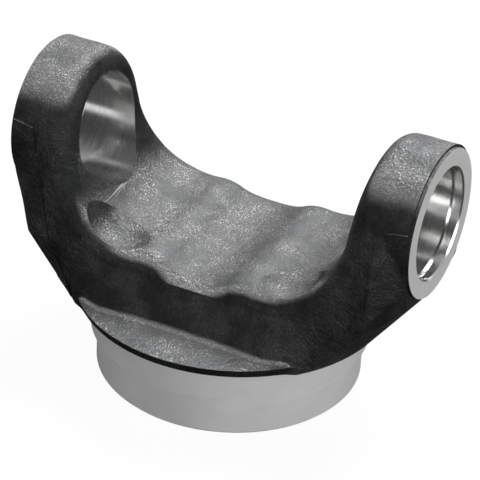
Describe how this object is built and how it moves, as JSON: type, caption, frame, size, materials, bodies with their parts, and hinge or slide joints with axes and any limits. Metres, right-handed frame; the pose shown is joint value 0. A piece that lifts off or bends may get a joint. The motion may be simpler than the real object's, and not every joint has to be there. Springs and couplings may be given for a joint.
{
  "type": "forged yoke",
  "caption": "U-shaped forged steel weld yoke with bored ears, snap-ring grooves, and a turned round seat that is welded into a drive-shaft tube.",
  "frame": {"origin": "centre of the flat annular end of the tube seat, on the tube's axis", "axes": "+Z along the tube's axis from the seat towards the ears, +X along the cross bores, +Y across the ears; the round hollows of the saddle are on the -Y side"},
  "size_m": [0.1342, 0.0998, 0.0956],
  "materials": {
    "forged_steel": "dark shot-blasted forging scale, with satin machined bores, ear faces and tube seat"
  },
  "bodies": {
    "root": {"weld_yoke": "forged_steel"}
  },
  "joints": []
}
